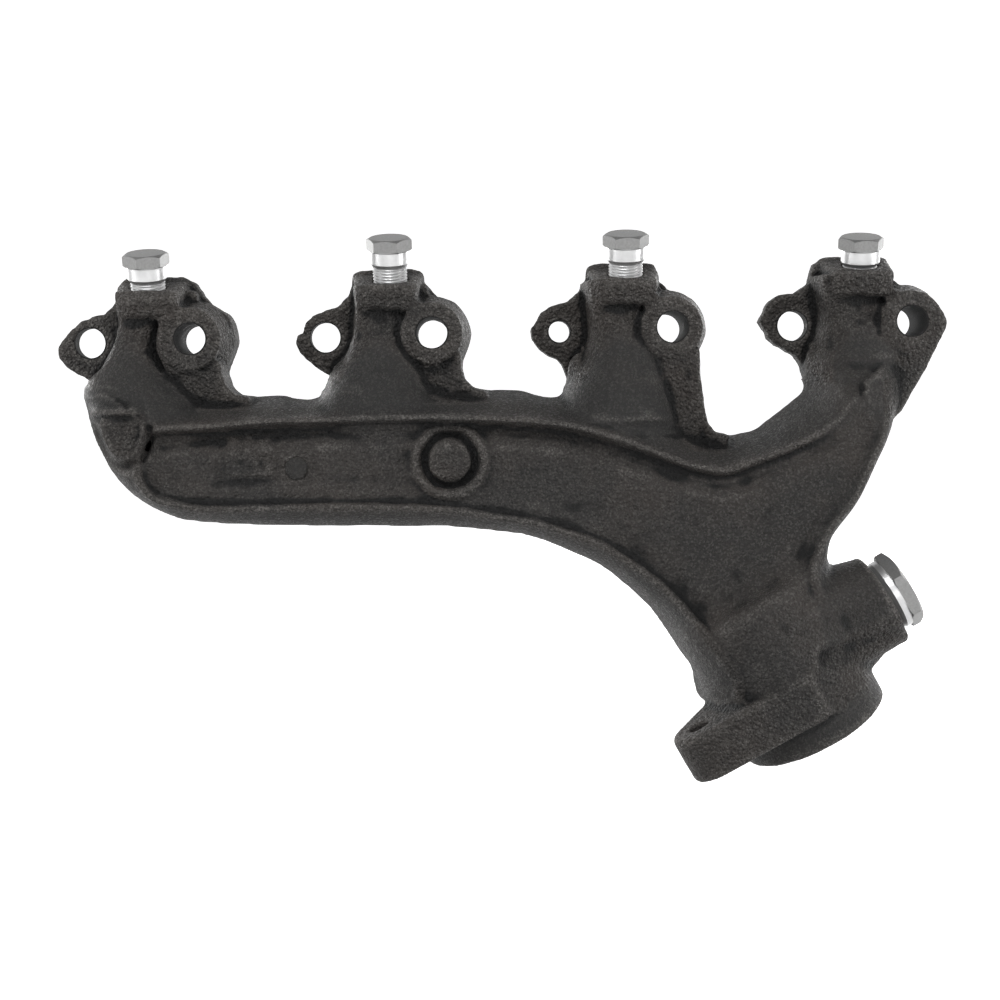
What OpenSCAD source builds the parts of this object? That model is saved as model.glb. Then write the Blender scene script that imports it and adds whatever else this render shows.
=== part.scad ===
// Exhaust manifold for one bank of a V8 engine, with its four air-injection plugs and one large plug.
// +X runs along the bank, +Y points at the cylinder head and +Z is up.
// The head face is the plane Y = 0, and the line of head bolts lies at Z = 0.
// Points written [x, z] lie in a plane parallel to the head face.
// The casting is cut into sections that meet face to face.

/* [Head flanges] */
// Distance between neighbouring ports
port_pitch = 124.46; // [122:0.01:128]
// Distance between the two bolts of one port
bolt_spacing = 57.15; // [56:0.01:59]
// Diameter of a head bolt hole
bolt_hole_d = 16; // [12:0.5:16.5]
// Diameter of the close hole that locates the casting
locating_hole_d = 11.5; // [9:0.5:13]
// Thickness of the port pad and its thin ear
pad_t = 10.5; // [8:0.5:12]
// Radius of the port pad
pad_r = 30; // [28:1:32]
// Radius of the thin ear round its hole
ear_r = 14.5; // [13:0.5:16]
// Length of the deep bolt boss
boss_depth = 38; // [30:1:42]
// Radius of the deep bolt boss
boss_r = 19; // [17:0.5:20]
// Step from the boss's front back to the web under it
web_step = 4; // [2:1:6]
// Width of the gas port
port_w = 34; // [28:1:35]
// Height of the gas port
port_h = 44; // [36:1:46]

/* [Runners and log] */
// Wall of the runners, log and collector
wall = 5.5; // [4:0.5:7]
// Distance from the head face to the back of the log
log_back = 12; // [11:1:14]
// Distance from the head face to the front of the log
log_front = 57; // [54:1:60]
// Height of the top of the log
log_top = -30; // [-32:1:-29]
// Radius of the bend at the closed end
end_r = 60; // [56:1:62]
// Depth of the front panel below its rim
panel_drop = 2.5; // [1:0.5:3]

/* [Air plugs] */
// Lean of a plug away from the head
plug_lean = 17; // [10:1:20]
// Thread diameter of an air plug
air_thread_d = 18; // [16:0.5:18]
// Length of the thread under the collar
air_thread_l = 15; // [12:1:16]
// Diameter of the collar
air_collar_d = 20.2; // [19:0.1:21]
// Length of the collar
air_collar_l = 8.4; // [6:0.2:9]
// Width across the flats of the hexagon
air_hex_af = 21; // [20:0.2:22]
// Height of the hexagon
air_hex_h = 6.4; // [5:0.2:8]

/* [Large plug] */
// Rise of the large plug's axis above +X
large_rise = 29; // [25:1:33]
// Thread diameter of the large plug
large_thread_d = 33; // [30:1:33]
// Length of the thread under the collar
large_thread_l = 16; // [12:1:18]
// Diameter of the collar
large_collar_d = 38; // [36:0.5:39]
// Length of the collar
large_collar_l = 6; // [5:0.5:7]
// Width across the flats of the hexagon
large_hex_af = 36.5; // [36:0.5:38]
// Height of the hexagon
large_hex_h = 6.5; // [6:0.5:8]
// Radius of the boss round the large plug
large_boss_r = 24.5; // [23:0.5:25]

/* [Outlet] */
// Lean of the outlet's axis from straight down towards +X
outlet_lean = 28; // [25:1:30]
// Lean of the outlet's axis towards the head
outlet_tuck = 4; // [2:1:5]
// Diameter of the outlet bore
outlet_bore_d = 63.5; // [60:0.5:65]
// Outside diameter of the spigot
spigot_d = 78; // [76:0.5:79]
// Length of the spigot below the flange
spigot_l = 14; // [10:1:16]
// Thickness of the outlet flange
flange_t = 25; // [20:1:26]
// Radius of a flange ear
flange_ear_r = 15; // [14:0.5:16]
// Diameter of an outlet bolt hole
outlet_hole_d = 10.5; // [9:0.5:11]

/* [Hidden] */
$fn = 64;

iron = [0.30, 0.28, 0.27];
iron_light = [0.38, 0.36, 0.34];
steel = [0.72, 0.72, 0.72];
slug_brown = [0.45, 0.38, 0.33];

// Thinnest slice used to build a section's end
slice = 0.01;
// Length by which a cut runs past the surface it opens
over = 1;
// Radial play between a plug's thread and its hole
thread_play = 0.05;
// Length of an air plug's hole
air_hole_l = 20;
// Height of each air plug's seat
seat_z = [27.5, 29, 29, 30.5];
// Sideways distance from each port's centre to its plug
plug_shift = [6, 7.5, 6, 4.5];
// Distance from the head face to an air plug's seat centre
seat_depth = 25;
// How far each air plug is screwed out of its seat
air_gap = [3.5, 7, 6.2, 0.1];
// Play under the large plug's collar
large_gap = 0.1;

// Lines across the hollow from its inner side to its outer side, each as two [x, z] ends
log_end = [[0, -102], [0, log_top]];
bend_mid = [[45, -118], [52, -38]];
bend_end = [[77, -146], [112, -58]];
runner_4_end = [[158, -40], [204, -50]];
neck = [[100, -184], [171, -113]];
neck_back = 10;
neck_front = 74;

// Centre of the bend at the closed end
end_c = [-153, -37];
// Centre of the outlet where the flange begins
outlet_c = [142, -47.7, -174.6];
neck_ring_r = spigot_d / 2 + 2;
// Ears and corners of the outlet flange, seen along the outlet's axis
flange_ear = [53.5, -26];
flange_corner = [-5.5, -42];
// Centre of the large plug's seat
large_seat = [194.5, -53, -142];
large_boss_l = 48;

// Chamfers of the hollow's section, each as its run along the width and its depth
back_chamfer = 10;
inner_chamfer = [9, 16];
outer_chamfer = [16, 28];
// Half width and height of a runner at the pad, at its recessed top and at its front
runner_root = [40, 54];
runner_top = [12, 11, 0];
runner_front = [17, -12, 22, -28];
runner_top_depth = 32;
runner_front_depth = 45;
// Straight part of the gas passage, and its bend down into the body
throat_depth = 24;
throat_trim = [4, 10];
passage_bend = [[-8, -4], [8, -4], [15, -28], [-15, -28]];
passage_depth = 37;
runner_foot_w = 48;
passage_foot_w = 36;
foot_z = log_top - 17;
// Sections of the air block, half across and half deep, with its corner radius
block_half = [19, 17];
block_round = 8;
// Pads and slug on the front panel
round_pad_c = [-27, -66.5];
round_pad_r = 10.5;
round_groove = [3.3, 1.5];
square_pad_c = [-129.5, -62];
square_pad_size = [26, 21];
core_plug_c = [-104, -67.5];
core_plug_r = 5.5;
end_pad_c = [-190, -54];
end_pad_r = 12;

function port_x(i) = (i - 2.5) * port_pitch;
function left_hole_x(i) = port_x(i) - bolt_spacing / 2;
function right_hole_x(i) = port_x(i) + bolt_spacing / 2;
function polar(c, r, a) = c + r * [cos(a), sin(a)];

// Solid between two distances in front of the head face, from an outline in [x, z]
module plate(from, to) {
    translate([0, -from, 0]) rotate([90, 0, 0]) linear_extrude(to - from) children();
}

// Outline of two circles and the straight tangents that join them
module tangent_bar(p, r, q, s) {
    line = q - p;
    a = atan2(line[1], line[0]);
    b = acos((r - s) / norm(line));
    translate(p) circle(r);
    translate(q) circle(s);
    polygon([polar(p, r, a + b), polar(q, s, a + b), polar(q, s, a - b), polar(p, r, a - b)]);
}

// Thin slice of the hollow's chamfered section across a line, moved inwards by inset.
// It lies on the outlet's side of the line when ahead is true, and otherwise on the other side.
module station(ends, back, front, inset, ahead) {
    line = ends[1] - ends[0];
    l = norm(line);
    translate([ends[0][0], 0, ends[0][1]])
        rotate([0, -atan2(line[1], line[0]), 0])
            translate([0, 0, ahead ? -slice : 0])
                linear_extrude(slice)
                    polygon([
                        [inset + inner_chamfer[0], inset - front],
                        [l - inset - outer_chamfer[0], inset - front],
                        [l - inset, inset - front + outer_chamfer[1]],
                        [l - inset, -back - inset - back_chamfer],
                        [l - inset - back_chamfer, -back - inset],
                        [inset + back_chamfer, -back - inset],
                        [inset, -back - inset - back_chamfer],
                        [inset, inset - front + inner_chamfer[1]]
                    ]);
}

// Quarter disc at the closed end of the log, up to a height
module end_quarter(r, top) {
    polygon(concat(
        [for (a = [180:9:270]) polar(end_c, r, a)],
        [[end_c[0], top], [end_c[0] - r, top]]
    ));
}

module log_body_shape(inset) {
    hull() {
        plate(log_back + inset + back_chamfer, log_front - inset - outer_chamfer[0])
            end_quarter(end_r - inset, log_top - inset);
        plate(log_back + inset, log_front - inset)
            end_quarter(end_r - inset - back_chamfer, log_top - inset - outer_chamfer[0]);
        station(log_end, log_back, log_front, inset, false);
    }
}

module log_bend_shape(inset) {
    hull() {
        station(log_end, log_back, log_front, inset, true);
        station(bend_mid, log_back, log_front, inset, false);
    }
    hull() {
        station(bend_mid, log_back, log_front, inset, true);
        station(bend_end, log_back, log_front, inset, false);
    }
}

module junction_shape(inset) {
    hull() {
        station(bend_end, log_back, log_front, inset, true);
        station(runner_4_end, log_back, log_front, inset, true);
        station(neck, neck_back, neck_front, inset, false);
    }
}

module neck_shape(inset, ring_r) {
    hull() {
        station(neck, neck_back, neck_front, inset, true);
        outlet_frame() translate([0, 0, -slice]) cylinder(r = ring_r, h = slice);
    }
}

// The solid that a port's runner and flange stand on
module body_under(i) {
    if (i < 3) log_body_shape(0);
    if (i == 3) log_bend_shape(0);
    if (i == 4) junction_shape(0);
}

// Slab across the log's depth, under a port
module foot_slab(i, width, inset) {
    translate([port_x(i) - width / 2, inset + 1 - log_front, foot_z])
        cube([width, log_front - log_back - 2 * inset - 3, 1]);
}

module runner_shape(i) {
    hull() {
        plate(pad_t, pad_t + slice) translate([port_x(i), 0]) square(runner_root, center = true);
        plate(runner_top_depth - 1, runner_top_depth) translate([port_x(i), 0]) polygon([
            [-runner_top[0], runner_top[1]], [runner_top[0], runner_top[1]],
            [runner_top[0], runner_top[2]], [-runner_top[0], runner_top[2]]
        ]);
        plate(runner_front_depth - 1, runner_front_depth) translate([port_x(i), 0]) polygon([
            [-runner_front[0], runner_front[1]], [runner_front[0], runner_front[1]],
            [runner_front[2], runner_front[3]], [-runner_front[2], runner_front[3]]
        ]);
        if (i < 4) foot_slab(i, runner_foot_w, 0);
        if (i == 4) station(runner_4_end, log_back, log_front, 0, false);
    }
}

module throat_slice(i, from) {
    plate(from, from + slice) translate([port_x(i), 0])
        square([port_w, port_h] - throat_trim, center = true);
}

// Gas passage: straight through the pad, then down into the body
module passage_shape(i) {
    corner = 8;
    hull() {
        plate(-over, 0) translate([port_x(i), 0])
            offset(corner) square([port_w - 2 * corner, port_h - 2 * corner], center = true);
        throat_slice(i, throat_depth);
    }
    hull() {
        throat_slice(i, throat_depth - wall);
        plate(passage_depth - 1, passage_depth) translate([port_x(i), 0]) polygon(passage_bend);
        if (i < 4) foot_slab(i, passage_foot_w, wall);
        if (i == 4) station(runner_4_end, log_back, log_front, wall, false);
    }
}

module pad_outline(i) {
    tangent_bar([left_hole_x(i), 0], ear_r, [port_x(i), 0], pad_r);
    tangent_bar([left_hole_x(i), 0], ear_r, [left_hole_x(i) - 14, 0], 3.5);
}

// Deep boss round the right bolt
module boss_outline(i) {
    tangent_bar([right_hole_x(i), 0], boss_r, [right_hole_x(i) + 16.5, 0], 4);
}

// Web from the deep boss down to the body
module web_outline(i) {
    web_z = i == 3 ? -60 : -42;
    web_x = i == 4 ? port_x(4) + 16 : right_hole_x(i) + 4;
    polygon([
        [right_hole_x(i) - 17, 0], [right_hole_x(i) + 17, -6],
        [web_x + 10, web_z], [web_x - 10, web_z]
    ]);
}

module boss_solid(i) {
    plate(0, boss_depth) boss_outline(i);
    plate(log_back, boss_depth - web_step) web_outline(i);
}

module air_seat_frame(i) {
    translate([port_x(i) + plug_shift[i - 1], -seat_depth, seat_z[i - 1]])
        rotate([plug_lean, 0, 0]) children();
}

module air_block(i) {
    core = block_half - [block_round, block_round];
    air_seat_frame(i) translate([0, 0, -air_hole_l]) linear_extrude(air_hole_l) {
        square([2 * block_half[0], 2 * core[1]], center = true);
        square([2 * core[0], 2 * block_half[1]], center = true);
        for (x = [-1, 1], y = [-1, 1])
            translate([x * core[0], y * core[1]]) circle(block_round, $fn = 32);
    }
}

module air_hole(i) {
    air_seat_frame(i) translate([0, 0, -air_hole_l - 15])
        cylinder(d = air_thread_d, h = air_hole_l + 15 + over);
}

module head_hole(x, d) {
    translate([x, over, 0]) rotate([90, 0, 0]) cylinder(d = d, h = boss_depth + 2 * over);
}

module head_flange(i) {
    color(iron) difference() {
        union() {
            plate(0, pad_t) pad_outline(i);
            boss_solid(i);
        }
        passage_shape(i);
        body_under(i);
        air_block(i);
        head_hole(left_hole_x(i), i == 3 ? locating_hole_d : bolt_hole_d);
        head_hole(right_hole_x(i), bolt_hole_d);
    }
}

module runner(i) {
    color(iron_light) difference() {
        runner_shape(i);
        passage_shape(i);
        body_under(i);
        air_block(i);
        boss_solid(i);
    }
}

module air_boss(i) {
    color(iron) difference() {
        air_block(i);
        passage_shape(i);
        air_hole(i);
        head_hole(right_hole_x(i), bolt_hole_d);
    }
}

module front_cut(outline) {
    plate(log_front - panel_drop, log_front + over) polygon(outline);
}

module log_body() {
    color(iron_light) difference() {
        log_body_shape(0);
        log_body_shape(wall);
        passage_shape(1);
        passage_shape(2);
        front_cut([[-176, -51], [over, -51], [over, -88], [-150, -83], [-168, -76]]);
        plate(log_front - panel_drop - round_groove[1], log_front)
            translate(round_pad_c) circle(round_pad_r + round_groove[0]);
        plate(log_front - wall - over, log_front) translate(core_plug_c) circle(core_plug_r);
    }
}

module log_bend() {
    color(iron_light) difference() {
        log_bend_shape(0);
        log_bend_shape(wall);
        passage_shape(3);
        front_cut([[-over, -51], [52, -62], [103, -78], [78, -132], [48, -107], [-over, -88]]);
    }
}

module outlet_frame() {
    translate(outlet_c) rotate([-outlet_tuck, 180 - outlet_lean, 0]) children();
}

module large_seat_frame() {
    translate(large_seat) rotate([0, 90 - large_rise, 0]) children();
}

module large_hole() {
    large_seat_frame() translate([0, 0, -large_boss_l - 5])
        cylinder(d = large_thread_d, h = large_boss_l + 5 + over);
}

module large_boss_shape() {
    large_seat_frame() translate([0, 0, -large_boss_l]) cylinder(r = large_boss_r, h = large_boss_l);
}

module collector() {
    color(iron_light) difference() {
        union() {
            junction_shape(0);
            neck_shape(0, neck_ring_r);
        }
        junction_shape(wall);
        neck_shape(wall, outlet_bore_d / 2);
        large_hole();
    }
}

module outlet_bore() {
    outlet_frame() translate([0, 0, -over]) cylinder(d = outlet_bore_d, h = flange_t + spigot_l + 2 * over);
}

module flange_outline() {
    for (turn = [0, 180]) rotate(turn) {
        translate(flange_ear) circle(flange_ear_r);
        polygon([
            -flange_corner, [0, 0], flange_corner,
            polar(flange_ear, flange_ear_r, -95), polar(flange_ear, flange_ear_r, 42)
        ]);
    }
}

module outlet_flange() {
    color(iron) difference() {
        outlet_frame() {
            linear_extrude(flange_t) flange_outline();
            cylinder(d = spigot_d, h = flange_t + spigot_l);
        }
        outlet_bore();
        outlet_frame() for (side = [-1, 1])
            translate([side * flange_ear[0], side * flange_ear[1], -over])
                cylinder(d = outlet_hole_d, h = flange_t + 2 * over);
        large_boss_shape();
    }
}

module large_plug_boss() {
    color(iron) difference() {
        large_boss_shape();
        junction_shape(0);
        neck_shape(0, neck_ring_r);
        large_hole();
        outlet_bore();
    }
}

module round_pad() {
    color(iron) plate(log_front - panel_drop - round_groove[1], log_front + 0.5)
        translate(round_pad_c) circle(round_pad_r);
}

module square_pad() {
    color(iron) plate(log_front - panel_drop, log_front - 1)
        translate(square_pad_c) square(square_pad_size, center = true);
}

module end_pad() {
    color(iron) plate(log_front, log_front + 1.5) translate(end_pad_c) {
        circle(end_pad_r);
        translate([-end_pad_r, 0]) square([2 * end_pad_r, end_pad_r - 2]);
    }
}

module core_plug() {
    color(slug_brown) plate(log_front - wall, log_front - panel_drop)
        translate(core_plug_c) circle(core_plug_r);
}

// Plug with its seat at the origin and its hexagon on +Z
module plug(gap, thread_d, thread_l, collar_d, collar_l, hex_af, hex_h) {
    chamfer = (collar_d - thread_d) / 2 + thread_play;
    thread_r = thread_d / 2 - thread_play;
    color(steel) translate([0, 0, gap]) {
        rotate_extrude() polygon([
            [0, -thread_l], [thread_r - 1, -thread_l], [thread_r, 1 - thread_l], [thread_r, 0],
            [collar_d / 2, chamfer], [collar_d / 2, collar_l], [0, collar_l]
        ]);
        translate([0, 0, collar_l]) cylinder(d = hex_af / cos(30), h = hex_h, $fn = 6);
    }
}

module air_plug(i) {
    air_seat_frame(i)
        plug(air_gap[i - 1], air_thread_d, air_thread_l, air_collar_d, air_collar_l, air_hex_af, air_hex_h);
}

module large_plug() {
    large_seat_frame()
        plug(large_gap, large_thread_d, large_thread_l, large_collar_d, large_collar_l,
             large_hex_af, large_hex_h);
}

head_flange(1);  // head_flange_1
head_flange(2);  // head_flange_2
head_flange(3);  // head_flange_3
head_flange(4);  // head_flange_4
runner(1);  // runner_1
runner(2);  // runner_2
runner(3);  // runner_3
runner(4);  // runner_4
air_boss(1);  // air_boss_1
air_boss(2);  // air_boss_2
air_boss(3);  // air_boss_3
air_boss(4);  // air_boss_4
log_body();
log_bend();
collector();
outlet_flange();
large_plug_boss();
round_pad();
square_pad();
end_pad();
core_plug();
air_plug(1);  // air_plug_1
air_plug(2);  // air_plug_2
air_plug(3);  // air_plug_3
air_plug(4);  // air_plug_4
large_plug();
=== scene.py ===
import math

import bpy
import numpy as np
import openvdb
from mathutils import Matrix, Vector


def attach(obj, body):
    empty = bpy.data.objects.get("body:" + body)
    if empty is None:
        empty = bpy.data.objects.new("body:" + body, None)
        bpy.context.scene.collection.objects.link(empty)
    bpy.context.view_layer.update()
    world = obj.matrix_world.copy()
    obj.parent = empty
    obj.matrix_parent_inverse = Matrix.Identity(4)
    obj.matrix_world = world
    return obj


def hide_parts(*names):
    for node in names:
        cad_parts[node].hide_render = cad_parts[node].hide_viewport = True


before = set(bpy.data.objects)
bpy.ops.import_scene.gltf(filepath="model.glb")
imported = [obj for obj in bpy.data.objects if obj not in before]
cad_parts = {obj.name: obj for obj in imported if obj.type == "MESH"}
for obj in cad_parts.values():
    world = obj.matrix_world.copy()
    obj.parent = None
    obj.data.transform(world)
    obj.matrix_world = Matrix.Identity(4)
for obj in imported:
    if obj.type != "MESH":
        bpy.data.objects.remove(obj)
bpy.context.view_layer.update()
print("frame loaded")

# lengths below are in mm: x along the bank, depth out from the head face, z up
mm = 0.001
portPitch = 124.46
portX = [(n - 1.5) * portPitch for n in range(4)]
holeOffset = 28.575

grid = {
    "step": 1.25,
    "low": (-242.0, -4.0, -250.0),
    "high": (246.0, 98.0, 44.0),
}


# fields
def smoothMin(a, b, k):
    # the smaller of two fields, with a fillet of size k where they cross
    h = np.maximum(k - np.abs(a - b), 0.0) / k
    return np.minimum(a, b) - h * h * k * 0.25


def smoothMax(a, b, k):
    return -smoothMin(-a, -b, k)


def ease(t):
    # 0 to 1 with level ends
    t = np.clip(t, 0.0, 1.0)
    return t * t * (3.0 - 2.0 * t)


def rounded(points, steps=4):
    # closed Catmull-Rom curve through the points
    p = np.array(points, float)
    before, after, last = np.roll(p, 1, 0), np.roll(p, -1, 0), np.roll(p, -2, 0)
    t = (np.arange(steps) / steps)[None, :, None]
    a, b, c, d = before[:, None], p[:, None], after[:, None], last[:, None]
    q = 0.5 * (2 * b + (c - a) * t + (2 * a - 5 * b + 4 * c - d) * t ** 2 + (3 * b - a - 3 * c + d) * t ** 3)
    return q.reshape(-1, p.shape[1])


def outlineField(points, gx, gz):
    # distance to a closed outline, negative inside, and the outline's third value at the nearest point
    p = np.array(points, float)
    if p.shape[1] == 2:
        p = np.hstack([p, np.zeros((len(p), 1))])
    best = np.full(np.broadcast(gx, gz).shape, 1e9)
    value = np.zeros_like(best)
    inside = np.zeros(best.shape, bool)
    for a, b in zip(p, np.roll(p, -1, 0)):
        ex, ez = b[0] - a[0], b[1] - a[1]
        t = np.clip(((gx - a[0]) * ex + (gz - a[1]) * ez) / (ex * ex + ez * ez + 1e-9), 0, 1)
        away = (gx - a[0] - t * ex) ** 2 + (gz - a[1] - t * ez) ** 2
        closer = away < best
        best = np.where(closer, away, best)
        value = np.where(closer, a[2] + t * (b[2] - a[2]), value)
        crosses = (a[1] > gz) != (b[1] > gz)
        side = gx < ex * (gz - a[1]) / (ez if abs(ez) > 1e-9 else 1e-9) + a[0]
        inside ^= crosses & side
    return np.where(inside, -1.0, 1.0) * np.sqrt(best), value


def lattice(seed, size, *coords):
    # smooth random values: a random lattice of the given spacing, eased between its points, from -1 to 1
    rng = np.random.default_rng(seed)
    table = rng.uniform(-1, 1, 4096).astype(np.float32)
    cells = [np.floor(c / size) for c in coords]
    parts = [ease(c / size - f) for c, f in zip(coords, cells)]
    cells = [f.astype(np.int64) for f in cells]
    primes = (73856093, 19349663, 83492791)
    total = 0.0
    for corner in range(2 ** len(coords)):
        weight, key = 1.0, 0
        for axis in range(len(coords)):
            bit = corner >> axis & 1
            weight = weight * (parts[axis] if bit else 1 - parts[axis])
            key = key ^ (cells[axis] + bit) * primes[axis]
        total = total + weight * table[key & 4095]
    return total


step = grid["step"]
xs, ds, zs = (np.arange(lo, hi, step, dtype=np.float32) for lo, hi in zip(grid["low"], grid["high"]))
gx, gz = xs[:, None], zs[None, :]
depths = ds[None, :, None]


def wide(flat):
    # a map over x and z, spread along the depth
    return flat.astype(np.float32)[:, None, :]


# log and collector
body = {
    # x, z and the depth of the outermost edge
    "outline": [
        (-213.7, -33, 32), (-215.0, -26, 28), (-212.5, -19.4, 24), (-206, -14, 20), (-190, -11, 20),
        (-170, -14, 20), (-158, -25, 20), (-147, -30, 20), (-132, -30.4, 20), (-113.7, -30, 20),
        (-107.7, -31.5, 20), (-99.7, -32.5, 20), (-93.7, -31, 20), (-89.7, -27, 20), (-88.5, -21, 20),
        (-82, -13, 20), (-62, -10, 20), (-42, -14, 20), (-32, -24, 20), (-20, -29.5, 20), (-8.1, -30.1, 20),
        (0, -29.9, 20), (11.9, -30.5, 20), (19.9, -33, 20), (26.9, -34.5, 20), (31.8, -34, 20),
        (35.3, -31, 20), (36.8, -27, 20), (37, -20, 20), (42, -12, 20), (62, -10, 20), (80, -14, 20),
        (89, -35, 20), (98, -50, 20), (117.1, -56.7, 20), (127.9, -55.9, 20), (135.5, -54.2, 20),
        (141.5, -49.9, 20), (149.5, -44, 20), (157.5, -38, 20), (162, -33, 20), (163.5, -28, 20),
        (162.5, -20, 20), (168, -10, 20), (190, -8, 20), (205, -14, 24), (210, -25, 30), (208.8, -38, 36),
        (203.8, -52, 40), (200.7, -60, 40), (190.7, -80, 40), (180.7, -97, 40), (172.6, -107, 40),
        (169, -115, 40), (170, -140, 40), (176, -168, 44), (160, -186, 44), (120, -200, 36),
        (104, -196, 30), (100.4, -188.5, 26), (98.4, -178.5, 26), (92.4, -170, 28), (85.3, -158.4, 30),
        (75.3, -144.4, 33), (60.3, -130.3, 36), (50.2, -122.3, 38), (30.2, -112.3, 41), (15.1, -106.2, 43),
        (0, -103.2, 44), (-30.1, -99.7, 44), (-80.2, -98.2, 44), (-130.4, -96.2, 44), (-160.5, -93.2, 44),
        (-170.5, -90.2, 44), (-180.6, -85.2, 43), (-190.6, -78.2, 42), (-199.6, -68.1, 40),
        (-205.7, -57.1, 38), (-210.7, -45, 36),
    ],
    # x, z and the drop of the panel inside the crest
    "crest": [
        (-180.5, -50.5, 3), (-173.7, -46.4, 3.6), (-148.1, -45.8, 3.8), (-118.5, -43.9, 3.8),
        (-75, -43.9, 3.8), (-34.7, -43.9, 3.8), (-0.2, -45.8, 3.8), (29.4, -48.8, 3.8), (49.1, -53.7, 3.8),
        (73.8, -62.6, 3.2), (93.5, -70.5, 2.6), (108.3, -74.4, 2.0), (116.2, -74.4, 2.0), (128, -70.5, 1.6),
        (147.7, -63.6, 1.2), (162.5, -56.7, 0.6), (172.4, -49.8, 0.2), (182, -40, 0), (194, -48, 0),
        (193.6, -59.7, 0.3), (187.6, -71.6, 0.4), (179.7, -87.4, 0.5), (167.9, -101.2, 0.6),
        (160.9, -111.1, 0.6), (156, -121, 1.0), (155, -128.9, 1.0), (157, -138.8, 0.5), (162, -155, 0),
        (160, -176, 0), (132, -194, 0), (117.5, -190, 1.0), (115.2, -179, 1.2), (110.2, -170.1, 1.2),
        (98.4, -153.3, 1.2), (88.6, -140.5, 1.2), (78.7, -130.6, 1.2), (59, -115.9, 1.2), (44.2, -108, 1.2),
        (19.5, -99.1, 1.2), (-0.2, -95.1, 1.2), (-29.8, -90.2, 1.2), (-59.4, -88.2, 1.2),
        (-98.8, -87.3, 1.2), (-148.1, -86.8, 1.2), (-167.8, -83.3, 1.2), (-177.7, -79.4, 1.2),
        (-183.5, -70, 1.6), (-184, -59, 2.2),
    ],
    "front": 57.0, "collectorRise": 20.0, "back": 12.0, "wall": 6.0, "rimRound": 10.0,
    "lip": 1.3, "gutter": 0.9, "dropScale": 1.9, "floor": 3.6,
}
edge, edgeDepth = outlineField(rounded(body["outline"]), gx, gz)
crest, crestDrop = outlineField(rounded(body["crest"]), gx, gz)
# the face stands further out where the gas turns down into the collector
flow = ease(((gx - 92) * 0.469 - (gz + 92) * 0.883) / 92)
frontLevel = body["front"] + body["collectorRise"] * flow
# between the rim and the crest the face swells in a part of an arc, fuller where the rim is thin
inward = np.maximum(-edge, 0)
share = inward / (inward + np.maximum(crest, 0) + 1e-6)
thinRim = ease((edgeDepth - 20) / -14 + 1)
ramp = thinRim * (1 - (1 - share) ** 1.45) + (1 - thinRim) * (1 - (1 - share) ** 2.1)
front = edgeDepth + (frontLevel - edgeDepth) * ramp
# inside the crest the panel drops, and its floor runs out towards the collector
inset = np.maximum(-crest, 0)
floorDrop = body["floor"] * (1 - 0.95 * ease(((gx - 40) - 0.4 * (gz + 70)) / 90))
drop = body["dropScale"] * crestDrop
drop = drop + (floorDrop - drop) * ease((inset - 6.5) / 8)
front -= drop * ease(inset / 3.2)
strong = np.clip(crestDrop, 0, 1)
front += body["lip"] * np.exp(-((crest - 0.6) / 1.7) ** 2) * strong
front -= body["gutter"] * np.exp(-((crest - 5.5) / 2.6) ** 2) * thinRim * strong
front = np.where(edge > 0, edgeDepth - 3 * edge, front)
rim = np.clip(inward / body["rimRound"], 0, 1)
back = body["back"] + (edgeDepth - body["back"]) * (1 - np.sqrt(1 - (1 - rim) ** 2))
back = np.where(edge > 0, edgeDepth + 3 * edge, back)

# runners
runner = {
    "z":     [40, 22, 14, 9, 0, -6, -13, -19, -24, -30, -38, -47, -58],
    "front": [30, 32, 33.5, 34.5, 36.5, 38.5, 41.5, 44.5, 47, 50, 53, 55, 46],
    "right": [33, 33, 33, 32, 30, 28, 28, 28, 28, 29, 30, 30, 30],
    "left":  [28, 28, 27, 25, 17, 13, 10.5, 9, 9, 9, 9, 9, 9],
    "edges": [
        ([-196, -196, -196, -196, -199.7, -203, -207.5, -213.3, -216.5, -217, -214.5, -211, -204],
         [-174, -174, -175, -176.5, -178, -178, -175, -170.2, -165, -160, -154, -148, -144]),
        ([-73, -73, -73, -74, -75.5, -78, -82, -87, -89.5, -93, -96, -98, -99],
         [-47, -47, -48, -48.5, -48.4, -47, -42.5, -40, -38.5, -36, -32, -28, -24]),
        ([48, 48, 49, 49.5, 49, 48, 45, 42, 39, 35, 32, 28, 24],
         [73, 73, 74, 75, 77.2, 79, 83, 85, 86, 87, 89, 91, 95]),
        ([170, 170, 171, 172, 171, 169, 167, 165, 164, 161, 156, 148, 140],
         [199, 199, 199.5, 200.5, 203.3, 206.5, 210, 211.5, 212, 212, 209.5, 206, 202]),
    ],
    "highest": 26.0, "lowest": -56.0, "back": 5.0,
}


def runnerHeight(left, right):
    # half-oval across x at each z: the ridge depth falls to the ear's level on one side and the web's on the other
    rz = np.array(runner["z"][::-1], float)

    def at(row):
        return np.interp(gz, rz, np.array(row[::-1], float))

    l, r, top = at(left), at(right), at(runner["front"])
    middle = 0.5 * (l + r)
    u = np.clip((gx - middle) / (0.5 * (r - l)), -2, 2)
    oval = np.maximum(1 - np.abs(u) ** 2.6, 0) ** (1 / 2.2)
    foot = np.where(u < 0, at(runner["left"]), at(runner["right"]))
    foot = np.minimum(foot, top - 2)
    fall = np.maximum(np.abs(gx - middle) - 0.5 * (r - l), 0) * 9
    return foot + (top - foot) * oval - fall


farBelow = -99.0
runnerFront = np.full(front.shape, farBelow)
for left, right in runner["edges"]:
    near = (gx > min(left) - 12) & (gx < max(right) + 12)
    runnerFront = np.where(near, np.maximum(runnerFront, runnerHeight(left, right)), runnerFront)
runnerFront = np.where((gz > runner["highest"]) | (gz < runner["lowest"]), farBelow, runnerFront)
# the last runner sinks into the collector
runnerFront = runnerFront - 60 * ease((-16 - gz) / 40) * (gx > 130)

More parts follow.
